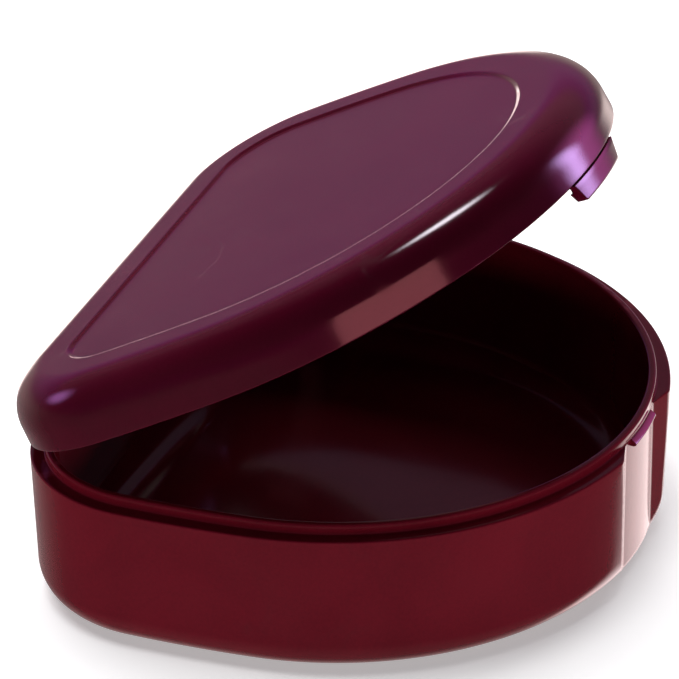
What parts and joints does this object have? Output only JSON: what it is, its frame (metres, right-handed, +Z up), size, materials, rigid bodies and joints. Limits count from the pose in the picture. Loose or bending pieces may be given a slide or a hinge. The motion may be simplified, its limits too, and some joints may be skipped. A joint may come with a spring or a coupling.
{
  "type": "mouthguard case",
  "caption": "Hinged two-piece plastic case with a D-shaped bowl and a snap latch, for a mouthguard or night guard, lid part-open.",
  "frame": {"origin": "centre of the tray's flat underside, on the table", "axes": "+Z up, -Y towards the rounded nose with the latch, +Y towards the hinge, +X across, to the right seen from the nose"},
  "size_m": [0.082, 0.0731, 0.0583],
  "materials": {
    "tray_plastic": "glossy injection-moulded burgundy plastic, satin inside",
    "lid_plastic": "glossy injection-moulded burgundy plastic with a faint purple sheen"
  },
  "bodies": {
    "tray": {"tray": "tray_plastic"},
    "lid": {"lid": "lid_plastic"}
  },
  "joints": [
    {"name": "lid_hinge", "type": "hinge", "parent": "tray", "child": "lid", "pos_m": [0, 0.03722, 0.02005], "axis": [-1, 0, 0], "range_deg": [-28.5, 151.5]}
  ]
}
